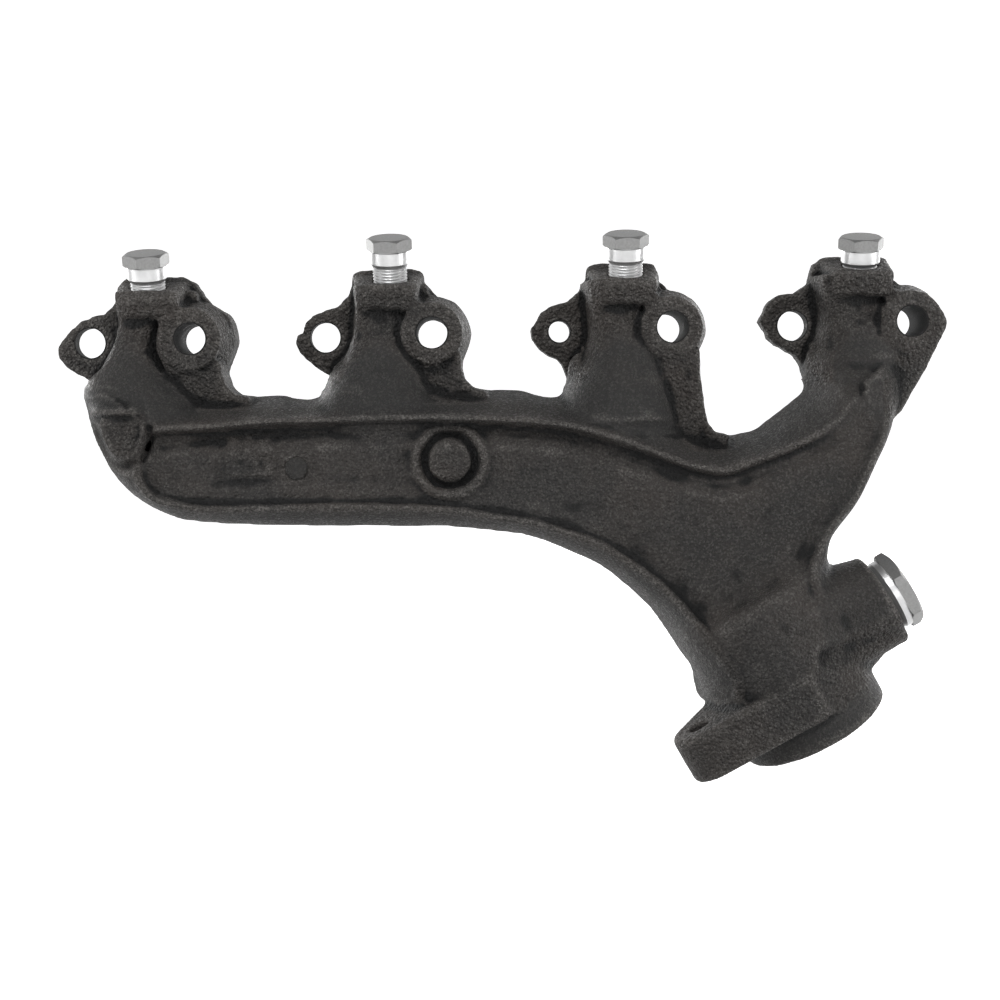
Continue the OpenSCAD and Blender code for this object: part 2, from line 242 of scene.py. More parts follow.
relief = smoothMax(np.maximum(front, -80), runnerFront, 7.0)
runnerBack = runner["back"] + (np.minimum(back, 40) - runner["back"]) * ease((-24 - gz) / 12)
backRelief = np.where(runnerFront > 0, runnerBack, back)

# marks on the panel
# a ring or a groove is its middle radius, its width and its height
knob = {"at": (-25.9, -65.6), "radius": 11.2, "height": 4.4, "top": 58.4,
        "ring": (17.4, 2.6, 2.6), "trench": (12.9, 2.0, -2.8)}
r = np.hypot(gx - knob["at"][0], gz - knob["at"][1])
for middle, width, height in (knob["ring"], knob["trench"]):
    relief += height * np.exp(-((r - middle) / width) ** 2)
relief += knob["height"] * np.sqrt(np.maximum(1 - (r / knob["radius"]) ** 4, 0))
relief = np.where(r < 20, np.minimum(relief, knob["top"]), relief)

pad = {"x": (-138.5, -115.8), "z": (-71.6, -51.5), "height": 1.5, "lumps": 0.35}
padEdge = ease((gx - pad["x"][0]) / 6 + 0.5) * ease((pad["x"][1] - gx) / 6 + 0.5)
padEdge = padEdge * ease((gz - pad["z"][0]) / 3.5 + 0.5) * ease((pad["z"][1] - gz) / 8 + 0.5)
relief += padEdge * (pad["height"] + pad["lumps"] * lattice(5, 3.2, gx + 0 * gz, gz + 0 * gx))

slug = {"at": (-103.9, -67.6), "radius": 5.4, "recess": 1.2, "seat": 51.2}
r = np.hypot(gx - slug["at"][0], gz - slug["at"][1])
relief -= slug["recess"] * ease((slug["radius"] - r) / 0.8 + 0.5)

# rough pad on the left end, with a dip round it and an overhanging brow above
endPad = {
    "outline": [(-201.5, -38.5), (-183, -38.5), (-180.5, -42), (-181, -50), (-184, -57), (-189, -61), (-195, -60),
                (-199.5, -55), (-202.5, -47)],
    "depth": 55.6, "lumps": 0.3, "dip": (1.8, 5.4), "brow": 5.4, "browZ": -36.6,
}
padField, _ = outlineField(rounded(endPad["outline"]), gx, gz)
raised = endPad["depth"] + endPad["lumps"] * lattice(8, 2.6, gx + 0 * gz, gz + 0 * gx)
shallow, deep = endPad["dip"]
dip = (shallow + (deep - shallow) * ease((gx + 200) / 14)) * np.exp(-((padField - 3.2) / 2.2) ** 2)
relief = relief - np.where(padField > -2, dip * ease((-42 - gz) / 4), 0)
relief = np.where(padField < 0, relief + (raised - relief) * ease(-padField / 1.3), relief)
brow = np.exp(-((gz - endPad["browZ"]) / 3.0) ** 2) * ease((gx + 213) / 9) * ease((-181 - gx) / 6)
relief += endPad["brow"] * brow * ease((gz - endPad["browZ"] + 2.6) / 1.4)


def tiltOf(flat):
    # how much longer the way down to a sloping surface is than the distance to it
    slopeX, slopeZ = np.gradient(flat, step)
    return wide(np.sqrt(1 + np.clip(slopeX ** 2 + slopeZ ** 2, 0, 9)))


field = smoothMax((depths - wide(relief)) / tiltOf(relief), (wide(backRelief) - depths) / tiltOf(backRelief), 1.5)
field = np.ascontiguousarray(field, np.float32)
hollow = np.maximum((depths - wide(front)) / tiltOf(front), wide(back) - depths) + body["wall"]
print("log, collector and runners", field.shape)


def part(low, high):
    # the block of the grid between two corners
    cut = tuple(slice(max(0, int((lo - base) / step)), int((hi - base) / step) + 2)
                for lo, hi, base in zip(low, high, grid["low"]))
    return cut, xs[cut[0]][:, None, None], ds[cut[1]][None, :, None], zs[cut[2]][None, None, :]


def addTo(cut, shape, k):
    field[cut] = smoothMin(field[cut], shape, k)


def cutFrom(cut, shape, k=0.6):
    field[cut] = smoothMax(field[cut], -shape, k)


def plateField(points, low, high, cut, d, x, z, soft=2.0, rag=0.0, seed=1):
    # outline in x and z, carried from one depth to the other
    flat, _ = outlineField(points, x[:, 0, :], z[0, :, :])
    if rag:
        fx, fz = np.broadcast_arrays(x[:, 0, :], z[0, :, :])
        flat = flat + rag * lattice(seed, 3.1, fx, fz) + 0.6 * rag * lattice(seed + 1, 1.7, fx, fz)
    slab = np.maximum(low - d, d - high)
    return smoothMax(flat[:, None, :].astype(np.float32), slab, soft)


def boxField(a, b, halfA, halfB, radius):
    # distance to a rectangle with rounded corners
    qa, qb = np.abs(a) - halfA + radius, np.abs(b) - halfB + radius
    return np.hypot(np.maximum(qa, 0), np.maximum(qb, 0)) + np.minimum(np.maximum(qa, qb), 0) - radius


def rodField(x, d, z, start, end, radius, flare=0.0):
    # distance to a straight rod between two points, its radius growing by the flare on the way
    (ax, ad, az), (bx, bd, bz) = start, end
    ex, ed, ez = bx - ax, bd - ad, bz - az
    t = np.clip(((x - ax) * ex + (d - ad) * ed + (z - az) * ez) / (ex * ex + ed * ed + ez * ez), 0, 1)
    away = np.sqrt((x - ax - t * ex) ** 2 + (d - ad - t * ed) ** 2 + (z - az - t * ez) ** 2)
    return away - radius - flare * t
# ears, webs and bolt bosses
ears = [
    {"ear": [(-201.4, 20.8), (-207.4, 15.3), (-212.3, 14.3), (-219.3, 11.8), (-224.3, 7.9), (-229.5, 3),
             (-233.3, -2.1), (-232.3, -8.1), (-227.3, -13.1), (-219.3, -18.1), (-212, -22), (-205, -29),
             (-186, -31), (-165, -30), (-150, -25), (-146, 0), (-152, 20), (-159.5, 31), (-166, 33.2),
             (-194, 33), (-200, 29)],
     "boss": [(-157.5, 26), (-154.9, 19.6), (-150, 17.4), (-142.1, 13.8), (-139.2, 10.3), (-138.2, 5.4),
              (-137.2, -0.5), (-140.2, -7.4), (-142.6, -16.3), (-150, -22), (-172, -20), (-172, 20)],
     "web": [(-170, -2), (-150, -8), (-143.4, -13), (-142.6, -18), (-140.2, -25.1), (-136.2, -29.1),
             (-129, -31), (-129, -37), (-172, -37), (-173, -20)],
     "webDepth": 35.6},
    {"ear": [(-76, 27), (-78, 21.5), (-81.8, 17.8), (-85.8, 15.3), (-89.7, 14.3), (-96.7, 11.8),
             (-101.7, 7.9), (-102.7, 2.9), (-105.7, 1.9), (-106.7, -2.1), (-105.7, -7.1), (-101.7, -11.1),
             (-97.7, -14.6), (-91.7, -19.1), (-89.2, -20.5), (-87, -26), (-80, -30), (-62, -31), (-40, -30),
             (-28, -22), (-26, 0), (-30, 19), (-37.5, 28), (-39, 33), (-46, 34), (-68, 34), (-74.5, 32.5)],
     "boss": [(-37, 26), (-33.7, 19.7), (-27.8, 17.7), (-21.9, 16.3), (-17.9, 10.3), (-14, 2.5),
              (-13.5, -0.5), (-15, -4.4), (-17, -9.4), (-18.4, -17.3), (-25, -22), (-48, -20), (-48, 20)],
     "web": [(-45, -2), (-25, -6), (-18.8, -11), (-18.4, -18), (-17, -24.2), (-13, -28.6), (-6, -31),
             (-6, -37), (-48, -37), (-47, -20)],
     "webDepth": 35.0},
    {"ear": [(47.6, 26), (46.5, 23), (42.8, 19.8), (37.8, 15.8), (34.8, 15.1), (29.9, 13.8), (23.9, 9.9),
             (20.9, 4.9), (17.9, 1.9), (18.9, -4.1), (22.9, -9.1), (27.9, -12.6), (32.8, -15.1),
             (34.8, -17.1), (36.3, -22), (38, -28), (48, -31), (62, -31), (84, -30), (96, -22), (98, 0),
             (94, 19), (86, 27), (84, 33), (78, 34.6), (56, 34.6), (49.5, 33)],
     "boss": [(85, 28), (86, 21.2), (91.5, 18.2), (97.4, 17.2), (102.3, 13.3), (106.2, 7.9), (108.2, 3.4),
              (110.5, -0.5), (110.2, -3.5), (107.2, -8.4), (105.7, -15.3), (98, -22), (76, -20), (76, 20)],
     "web": [(80, -2), (98, -5), (104.5, -10), (105.2, -18), (105.3, -24), (106.2, -35), (107.2, -42.9),
             (108.7, -49.8), (112.2, -54.7), (120, -57), (116, -66), (100, -64), (90, -54), (84, -38),
             (80, -20)],
     "webDepth": 37.4},
    {"ear": [(168.5, 27), (168, 23), (163.4, 19.8), (159.4, 17.3), (153.4, 16.8), (148.5, 15.3),
             (144.5, 10.8), (142.5, 5.9), (139.8, 2.9), (142.5, -0.1), (145.5, -6.1), (148.5, -9.6),
             (154.4, -13.1), (159.4, -16.1), (161.9, -19.1), (163.4, -24), (166, -30), (186, -31),
             (205, -30), (220, -22), (222, 0), (218, 18), (209, 26), (207.5, 33), (202, 34), (176, 34.5),
             (170.5, 33)],
     "boss": [(206.5, 27), (208.2, 20.3), (213.1, 19.3), (220, 16.4), (226.8, 12), (231.7, 7.1),
              (234.6, 2.2), (235.6, -0.8), (234.6, -4.8), (230.7, -11.5), (222.9, -25.2), (205, -25),
              (200, -20), (200, 20)],
     "web": [(207, 16), (218, 15), (226, 10), (232, 4), (234, -0.8), (233, -4.8), (229.5, -11.5),
             (222.4, -25.2), (214.7, -37.9), (209.8, -46), (203, -53), (196, -52), (196, -40), (200, -10)],
     "webDepth": 37.4},
]
bossShape = {"length": 38.0, "foot": 20.0, "mouth": 15.8, "straight": 16.0}
holeRadius = [(8.0, 8.0), (8.0, 8.0), (5.75, 8.0), (8.0, 8.0)]
earShape = {"ear": 10.5, "boss": 19.0, "root": 30.0, "cheek": (6.0, 36.8), "cheekZ": (15, 9, 0, -6, -13, -18)}

for n, side in enumerate(ears):
    px = portX[n]
    hx = px + holeOffset
    cut, x, d, z = part((px - 56, -4, -90), (px + 58, 46, 42))
    shape = plateField(side["ear"], 0, earShape["ear"], cut, d, x, z, 1.2, 0.45, 20 + n)
    boss = plateField(side["boss"], 0, earShape["boss"], cut, d, x, z, 2.0, 0.4, 40 + n)
    web = plateField(side["web"], 5, side["webDepth"], cut, d, x, z, 2.0, 0.15, 60 + n)
    root = [(px - 9, 24), (px + 13, 24), (px + 16, 18), (px + 22, 11), (px + 24, -16), (px - 9, -16)]
    root = plateField(root, 0, earShape["root"], cut, d, x, z, 4.0)
    # the cheek fills the way from the runner's right edge to the bolt boss
    rowZ, rowX = -np.array(runner["z"]), runner["edges"][n][1]
    valley = [(float(np.interp(-h, rowZ, rowX)) + 2.0, h) for h in earShape["cheekZ"]]
    cheek = [(px + 4, 22), (px + 6, 15)] + valley + [(hx + 4, -18), (hx + 4, 14), (px + 20, 16), (px + 12, 22)]
    cheek = plateField(cheek, *earShape["cheek"], cut, d, x, z, 3.0)
    spread = ease((d - bossShape["straight"]) / (bossShape["length"] - bossShape["straight"])) ** 0.8
    radius = bossShape["foot"] - (bossShape["foot"] - bossShape["mouth"]) * spread
    cone = smoothMax(np.hypot(x - hx, z) - radius, np.maximum(d - bossShape["length"], -d), 1.6)
    for other, fillet in ((boss, 1.6), (web, 1.6), (root, 1.0), (cheek, 1.0), (cone, 1.6)):
        shape = smoothMin(shape, other, fillet)
    addTo(cut, shape, 3.0)
print("ears, webs and bolt bosses")

# air-injection blocks
block = {
    "shift": [7, 5.8, 5.6, 4], "plug": [6, 7.5, 6, 4.5], "depth": 25.0, "z": [27.5, 29, 29, 30.5],
    "lean": math.radians(17), "half": (18.4, 17.0), "taper": 0.08, "height": 12.0, "round": 7.0,
    "hole": 9.15, "chamfer": 1.2, "wellDepth": 36.0,
}


def blockFrame(n, x, d, z):
    # across, outwards and along the plug's axis, from the middle of its seat
    c, s = math.cos(block["lean"]), math.sin(block["lean"])
    u = x - portX[n] - block["shift"][n]
    a = (d - block["depth"]) * c - (z - block["z"][n]) * s
    b = (d - block["depth"]) * s + (z - block["z"][n]) * c
    return u, a, b


for n in range(4):
    px = portX[n]
    cut, x, d, z = part((px - 30, -4, -12), (px + 42, 52, 44))
    u, a, b = blockFrame(n, x, d, z)
    halfW = block["half"][0] - block["taper"] * (a + 17) - 0.25 * np.maximum(-b - 5, 0)
    flat = boxField(u, a, halfW, block["half"][1], block["round"])
    box = smoothMax(flat, np.maximum(b, -block["height"] - b - 3.0 * ease(-a / 17)), 3.5)
    addTo(cut, smoothMax(box, -d, 1.0), 5.0)
print("air-injection blocks")

# outlet
outlet = {
    "at": (142.0, -47.7, -174.6), "axis": (0.4683, 0.0698, -0.8808),
    "across": (-0.883, 0.0, -0.469), "aside": (-0.033, 0.998, 0.062),
    "neck": 41.0, "neckLength": 42.0, "spigot": 39.0, "bore": 31.75, "thick": 25.0, "spigotLength": 14.0,
    "ear": (53.5, -26.0), "earRadius": 15.0, "earTurn": (42, -95), "corner": (-5.5, -42.0), "hole": 5.25,
}


def outletFrame(x, d, z):
    p = (x - outlet["at"][0], -d - outlet["at"][1], z - outlet["at"][2])
    return [sum(c * q for c, q in zip(outlet[key], p)) for key in ("across", "aside", "axis")]


cut, x, d, z = part((70, -4, -250), (216, 98, -100))
u, v, w = outletFrame(x, d, z)
away = np.hypot(u, v)
neck = away - outlet["neck"] + 0.08 * np.maximum(-w, 0)
addTo(cut, smoothMax(neck, np.maximum(-w - outlet["neckLength"], w - 4), 8), 9)
# the flange's outline is two equal halves, each a body with a round ear
cx, cy = outlet["corner"]
ex, ey = outlet["ear"]
tip = [(ex + outlet["earRadius"] * math.cos(t), ey + outlet["earRadius"] * math.sin(t))
       for t in map(math.radians, outlet["earTurn"])]
flat = np.full(u.shape, 1e9, np.float32)
for sign in (1, -1):
    half = [(sign * a, sign * b) for a, b in ((-cx, -cy), (cx, cy), tip[1], tip[0])]
    ear = np.hypot(u - sign * ex, v - sign * ey) - outlet["earRadius"]
    flat = np.minimum(flat, np.minimum(outlineField(half, u, v)[0], ear))
addTo(cut, smoothMax(flat, np.maximum(-w, w - outlet["thick"]), 3.0), 4.0)
spigot = np.maximum(-w, w - outlet["thick"] - outlet["spigotLength"])
addTo(cut, smoothMax(away - outlet["spigot"], spigot, 2.0), 1.5)
print("outlet neck, flange and spigot")

# boss of the large plug
largeBoss = {
    "at": (194.5, 53.0, -142.0), "rise": math.radians(29), "radius": 24.5, "length": 50.0, "hole": 16.65,
    "chamfer": 1.5, "swell": 0.30,
}


def largeFrame(x, d, z):
    # above the plug's axis, beside it, and the way along it from the seat
    c, s = math.cos(largeBoss["rise"]), math.sin(largeBoss["rise"])
    px, pd, pz = x - largeBoss["at"][0], d - largeBoss["at"][1], z - largeBoss["at"][2]
    return pz * c - px * s, pd, px * c + pz * s


cut, x, d, z = part((130, 10, -200), (222, 98, -100))
above, beside, along = largeFrame(x, d, z)
swell = largeBoss["swell"] * np.maximum(-along - 3, 0) * ease((above - 4) / 16)
ends = np.maximum(along, -along - largeBoss["length"])
addTo(cut, smoothMax(np.hypot(above, beside) - largeBoss["radius"] - swell, ends, 2.2), 5.0)
# groove between the boss and the flange, and the pocket beside the elbow's crest
grooves = [((160, 83.5, -167), (203, 75.5, -160), 5.0), ((166, 84, -118), (171, 83, -133), 5.5)]
cut, x, d, z = part((130, 40, -200), (222, 98, -90))
for start, end, radius in grooves:
    cutFrom(cut, rodField(x, d, z, start, end, radius), 5.0)
print("boss of the large plug")

# hollows and holes
port = {
    "half": (17.0, 22.0), "round": 8.0, "shrink": 0.85, "mouth": 13.0,
    "throat": ((10.0, 2.0), (38.0, -50.0)), "radius": 9.0, "flare": 2.5,
}
cut, x, d, z = part((-214, 10, -200), (212, 98, -8))
field[cut] = np.maximum(field[cut], -hollow[cut])
for n in range(4):
    px = portX[n]
    cut, x, d, z = part((px - 30, -4, -70), (px + 30, 60, 40))
    mouth = boxField(x - px, z, *port["half"], port["round"]) + port["shrink"] * np.maximum(d, 0)
    cutFrom(cut, smoothMax(mouth, d - port["mouth"], 4), 0.8)
    start, end = [(px, *point) for point in port["throat"]]
    cutFrom(cut, rodField(x, d, z, start, end, port["radius"], port["flare"]), 3.0)
    for sign, radius in zip((-1, 1), holeRadius[n]):
        hx = px + sign * holeOffset
        cut, x, d, z = part((hx - 12, -4, -12), (hx + 12, 48, 12))
        cutFrom(cut, np.hypot(x - hx, z) - radius - 0.15 + 0 * d, 0.3)
    cut, x, d, z = part((px - 20, 2, -14), (px + 30, 48, 44))
    u, a, b = blockFrame(n, x, d, z)
    away = np.hypot(u + block["shift"][n] - block["plug"][n], a) - block["hole"]
    well = np.maximum(away, -b - block["wellDepth"])
    cutFrom(cut, np.minimum(well, away - block["chamfer"] + 1.1 * np.maximum(-b, 0)), 0.6)
cut, x, d, z = part((70, -4, -250), (216, 98, -100))
u, v, w = outletFrame(x, d, z)
away = np.hypot(u, v) - outlet["bore"]
cutFrom(cut, np.maximum(away, -w - 22), 1.0)
# above the flange the bore closes in a cone, so the wall of the neck stays whole
cutFrom(cut, np.maximum(away + 0.50 * np.maximum(-w, 0), np.maximum(-w - 44, w)), 1.0)
for sign in (-1, 1):
    cutFrom(cut, np.maximum(np.hypot(u - sign * ex, v - sign * ey) - outlet["hole"], -w - 14), 0.8)
above, beside, along = largeFrame(x, d, z)
away = np.hypot(above, beside) - largeBoss["hole"]
cutFrom(cut, np.maximum(away, -along - largeBoss["length"] - 2), 0.6)
cutFrom(cut, away - largeBoss["chamfer"] + 1.1 * np.maximum(-along, 0), 0.6)
print("hollows and holes")

# one skin over the casting
volume = openvdb.FloatGrid(6.0)
volume.copyFromArray(np.clip(field, -6, 6))
points, quads = volume.convertToQuads(0.0)
points = points.astype(np.float64) * step + np.array(grid["low"])
print("skin", len(points), "points", len(quads), "quads")


def vertexNormals(p, q):
    # sum of the quad normals round each point
    n = np.cross(p[q[:, 2]] - p[q[:, 0]], p[q[:, 3]] - p[q[:, 1]])
    total = np.zeros_like(p)
    for k in range(4):
        np.add.at(total, q[:, k], n)
    return total / (np.linalg.norm(total, axis=1, keepdims=True) + 1e-12)


def sample(flat, x, z):
    # value of a map over x and z at scattered points
    fx = np.clip((x - xs[0]) / step, 0, len(xs) - 1.001)
    fz = np.clip((z - zs[0]) / step, 0, len(zs) - 1.001)
    i, j = fx.astype(int), fz.astype(int)
    tx, tz = fx - i, fz - j
    return ((flat[i, j] * (1 - tx) + flat[i + 1, j] * tx) * (1 - tz)
            + (flat[i, j + 1] * (1 - tx) + flat[i + 1, j + 1] * tx) * tz)


def sandAt(px, pd, pz):
    # how coarse the sand skin is at each point, from 0 to 1
    sand = sample(sandMap, px, pz)
    u, v, w = outletFrame(px, pd, pz)
    flange = ease((w + 6) / 6) * ease((26 - w) / 2) * (np.hypot(u, v) > 34)
    sand = np.maximum(sand, 0.9 * flange)
    spigot = (w > 26) & (np.hypot(u, v) < 42) & (np.hypot(u, v) > 33)
    return np.where(spigot, 0.05, sand)


sandMap = np.full(front.shape, 0.25)
for side in ears:
    for key in ("ear", "boss", "web"):
        d2, _ = outlineField(side[key], gx, gz)
        sandMap = np.maximum(sandMap, ease(0.5 - d2 / 3))
blocked = np.clip((relief - 36) / 4, 0, 1) * (runnerFront > 30) * (gz < 8)
sandMap = sandMap * (1 - 0.85 * blocked)
sandMap = np.maximum(sandMap, 0.8 * ease((gz - 10) / 6))
sandMap = np.maximum(sandMap, 0.55 * ease(inset / 6) * ease((-30 - gz) / 10))
sandMap = np.maximum(sandMap, 0.8 * np.exp(-(crest / 3.5) ** 2) * np.clip(crestDrop, 0, 1))
sandMap = np.maximum(sandMap, 0.9 * ease(1 - padField / 2))
sandMap = np.maximum(sandMap, 0.8 * ease(padEdge))
r = np.hypot(gx - knob["at"][0], gz - knob["at"][1])
sandMap = np.maximum(sandMap, 0.8 * ease((21 - r) / 4))

px, pd, pz = points.T
sand = sandAt(px, pd, pz)
normals = vertexNormals(points, quads)
bumpy = 0.18 * lattice(3, 9.0, px, pd, pz)
bumpy = bumpy + sand * (0.16 * lattice(4, 3.4, px, pd, pz) + 0.10 * lattice(9, 2.2, px, pd, pz))
facing = np.abs(pd) < 0.8
points = points + normals * (bumpy * np.where(facing, 0, 1))[:, None]
points[np.abs(points[:, 1]) < 0.8, 1] = 0.0


def boxBlur(values, reach):
    # mean over a cube of 2 reach + 1 cells, one axis after another by running sums
    for axis in range(3):
        width = [(0, 0)] * 3
        width[axis] = (reach + 1, reach)
        total = np.cumsum(np.pad(values, width, mode="edge"), axis=axis, dtype=np.float32)
        size = values.shape[axis]
        hi = np.take(total, range(2 * reach + 1, 2 * reach + 1 + size), axis=axis)
        lo = np.take(total, range(0, size), axis=axis)
        values = (hi - lo) / (2 * reach + 1)
    return values


def sampleSolid(values, p):
    # value of a grid over x, depth and z at scattered points
    q = [np.clip((p[:, k] - grid["low"][k]) / step, 0, values.shape[k] - 1.001) for k in range(3)]
    base = [c.astype(int) for c in q]
    frac = [c - b for c, b in zip(q, base)]
    total = 0.0
    for corner in range(8):
        bits = [corner >> k & 1 for k in range(3)]
        weight = 1.0
        for k in range(3):
            weight = weight * (frac[k] if bits[k] else 1 - frac[k])
        total = total + weight * values[tuple(b + bit for b, bit in zip(base, bits))]
    return total


def makePiece(name, verts, faces, smooth=None):
    # verts in x, depth, z mm
    co = np.stack([verts[:, 0], -verts[:, 1], verts[:, 2]], 1) * mm
    mesh = bpy.data.meshes.new(name)
    mesh.from_pydata(co.tolist(), [], faces)
    mesh.validate()
    mesh.update()
    obj = bpy.data.objects.new(name, mesh)
    bpy.context.scene.collection.objects.link(obj)
    mesh.polygons.foreach_set("use_smooth", np.ones(len(mesh.polygons), bool))
    if smooth is not None:
        mesh.set_sharp_from_angle(angle=math.radians(smooth))
    return obj


def setValue(obj, name, values):
    layer = obj.data.attributes.new(name, "FLOAT", "POINT")
    layer.data.foreach_set("value", values.astype(np.float32))


def thinned(obj, limit):
    # fewer triangles where the skin is nearly flat
    count = 2 * len(obj.data.polygons)
    if count > limit:
        less = obj.modifiers.new("thin", "DECIMATE")
        less.ratio = limit / count
        ready = bpy.data.meshes.new_from_object(obj.evaluated_get(bpy.context.evaluated_depsgraph_get()))
        obj.modifiers.clear()
        old, obj.data = obj.data, ready
        bpy.data.meshes.remove(old)
        obj.data.name = obj.name


# the depth axis is turned over on the way into the mesh, so each quad is turned over too
skin = {"triangles": 190000, "ridgeClip": 2.5, "ridgeReach": 2, "ridgeScale": 0.42}
casting = makePiece("manifoldCasting", points, quads[:, ::-1].tolist())
thinned(casting, skin["triangles"])
co = np.empty(len(casting.data.vertices) * 3, np.float32)
casting.data.vertices.foreach_get("co", co)
kept = co.reshape(-1, 3).astype(np.float64) * [1000, -1000, 1000]
setValue(casting, "sand", sandAt(*kept.T))
setValue(casting, "machined", np.where(np.abs(kept[:, 1]) < 0.01, 1.0, 0.0))
# the blurred field gives the ridge value, convex positive and concave negative, which places the painted highlight
# and the painted shade in the iron's colour
soft = boxBlur(np.clip(field, -skin["ridgeClip"], skin["ridgeClip"]), skin["ridgeReach"])
setValue(casting, "ridge", np.clip(sampleSolid(soft, kept) / skin["ridgeScale"], -1, 1))
casting.data.calc_loop_triangles()
print("casting skin", len(casting.data.loop_triangles), "triangles")
castingNodes = ["%s_%d" % (word, n) for word in ("head_flange", "runner", "air_boss") for n in range(1, 5)]
castingNodes += ["log_body", "log_bend", "collector", "outlet_flange", "large_plug_boss"]
castingNodes += ["round_pad", "square_pad", "end_pad"]
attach(casting, "casting")
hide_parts(*castingNodes)


# each plug: across-flats, lengths and radii, how far each one stands out of its seat, and how it is turned
airPlug = {
    "gap": [3.5, 7, 6.2, 0.1], "turn": [-14, 21.5, -30, -28], "thread": 8.95, "threadLength": 15.0, "pitch": 1.5,
    "tooth": 0.9, "collar": 10.1, "collarLength": 8.4, "flats": 21.0, "hex": 6.4, "chamfer": 30,
}
largePlug = dict(airPlug, gap=[0.1], thread=16.45, threadLength=16.0, collar=18.6, collarLength=6.0,
                 flats=36.5, hex=6.5, turn=[27])


def plugGrid(shape, around=192):
    # rings stacked along the axis; a ring is round or six-sided, cut by the end's cone
    angle = np.linspace(0, 2 * math.pi, around, endpoint=False)
    tipRadius = shape["thread"] - 1.2
    rows = [(-shape["threadLength"], 0.0), (-shape["threadLength"], tipRadius)]
    for h in np.arange(-shape["threadLength"] + 1.2, 0, shape["pitch"] / 6):
        tooth = abs(h / shape["pitch"] % 1.0 - 0.5) * 2
        rows.append((h, shape["thread"] - shape["tooth"] * min(max(1.15 * tooth - 0.1, 0), 1)))
    over = shape["collar"] - shape["thread"]
    c0, c1 = shape["collar"], shape["collarLength"]
    rows += [(0.0, shape["thread"] - shape["tooth"]), (0.05, shape["thread"]), (over + 0.6, c0), (over + 0.9, c0),
             (c1 - 0.5, c0), (c1 - 0.3, c0 - 0.25), (c1, c0 - 0.25)]
    rings = [np.full(around, r) for _, r in rows]
    levels = [h for h, _ in rows]
    flat = shape["flats"] / 2
    sector = (angle + math.pi / 6) % (math.pi / 3) - math.pi / 6
    hexagon = flat / np.cos(sector)
    point = flat / math.cos(math.pi / 6)
    slope = math.tan(math.radians(shape["chamfer"]))
    # lower edge of the hexagon barely broken, upper edge turned to a cone
    for t in np.linspace(0, 0.5, 4):
        rings.append(np.minimum(hexagon, point - 0.9 + t / slope))
        levels.append(c1 + t)
    coneDepth = (point - flat + 0.7) * slope
    for t in np.linspace(0, 1, 15):
        rings.append(np.minimum(hexagon, point - t * coneDepth / slope + 0.15))
        levels.append(c1 + shape["hex"] - coneDepth * (1 - t))
    for r in (flat - 1.6, 0.0):
        rings.append(np.full(around, r))
        levels.append(c1 + shape["hex"] + 0.02)
    return np.array(rings), np.array(levels), angle


def ringFaces(rows, around):
    # quads between stacked rings, with a fan at each end to the two points that follow them
    i = np.arange((rows - 1) * around).reshape(rows - 1, around)
    j = np.roll(i, -1, 1)
    k = np.arange(around)
    n = np.roll(k, -1)
    last = (rows - 1) * around
    faces = np.stack([i, j, j + around, i + around], -1).reshape(-1, 4).tolist()
    faces += np.stack([n, k, np.full(around, last + around)], -1).tolist()
    return faces + np.stack([last + k, last + n, np.full(around, last + around + 1)], -1).tolist()


def plugPiece(name, shape, n, place):
    rings, levels, angle = plugGrid(shape)
    angle = angle + math.radians(shape["turn"][n])
    height = np.repeat(levels[:, None] + shape["gap"][n], len(angle), 1)
    local = np.stack([rings * np.cos(angle), rings * np.sin(angle), height], -1)
    verts = place(np.vstack([local[1:-1].reshape(-1, 3), local[:1, 0], local[-1:, 0]]))
    return makePiece(name, verts, ringFaces(len(local) - 2, len(angle)), 24)


def airPlace(n):
    c, s = math.cos(block["lean"]), math.sin(block["lean"])

    def place(p):
        # local x stays, local y points back to the head, local z is the plug's axis
        return np.stack([portX[n] + block["plug"][n] + p[:, 0], block["depth"] - p[:, 1] * c + p[:, 2] * s,
                         block["z"][n] + p[:, 1] * s + p[:, 2] * c], 1)
    return place


def largePlace(p):
    c, s = math.cos(largeBoss["rise"]), math.sin(largeBoss["rise"])
    ax, ad, az = largeBoss["at"]
    return np.stack([ax + p[:, 2] * c - p[:, 0] * s, ad - p[:, 1], az + p[:, 2] * s + p[:, 0] * c], 1)


airPlugs = [plugPiece("airPlugDetail%d" % (n + 1), airPlug, n, airPlace(n)) for n in range(4)]
for n, plug in enumerate(airPlugs):
    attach(plug, "air_plug_%d" % (n + 1))
    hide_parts("air_plug_%d" % (n + 1))
bigPlug = plugPiece("largePlugDetail", largePlug, 0, largePlace)
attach(bigPlug, "large_plug")
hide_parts("large_plug")
print("plugs")


def slugPiece():
    # flat disc with a rounded rim and a slightly lumpy face
    angle = np.linspace(0, 2 * math.pi, 72, endpoint=False)
    profile = np.array([(5.6, -1.0), (5.6, 2.6), (5.3, 3.0), (4.0, 3.15), (2.6, 3.1), (1.2, 3.15)])
    radius = profile[:, :1] * (1 + 0.02 * np.sin(3 * angle))[None, :]
    depth = slug["seat"] + profile[:, 1:] + 0 * radius
    x = slug["at"][0] + radius * np.cos(angle)
    z = slug["at"][1] + radius * np.sin(angle)
    depth = depth + 0.12 * lattice(31, 1.4, x, z) * (depth > slug["seat"] + 2.7)
    ends = [[slug["at"][0], slug["seat"] + h, slug["at"][1]] for h in (-1.0, 3.2)]
    verts = np.vstack([np.stack([x, depth, z], -1).reshape(-1, 3), ends])
    return makePiece("coreSlug", verts, ringFaces(len(profile), 72), 40)


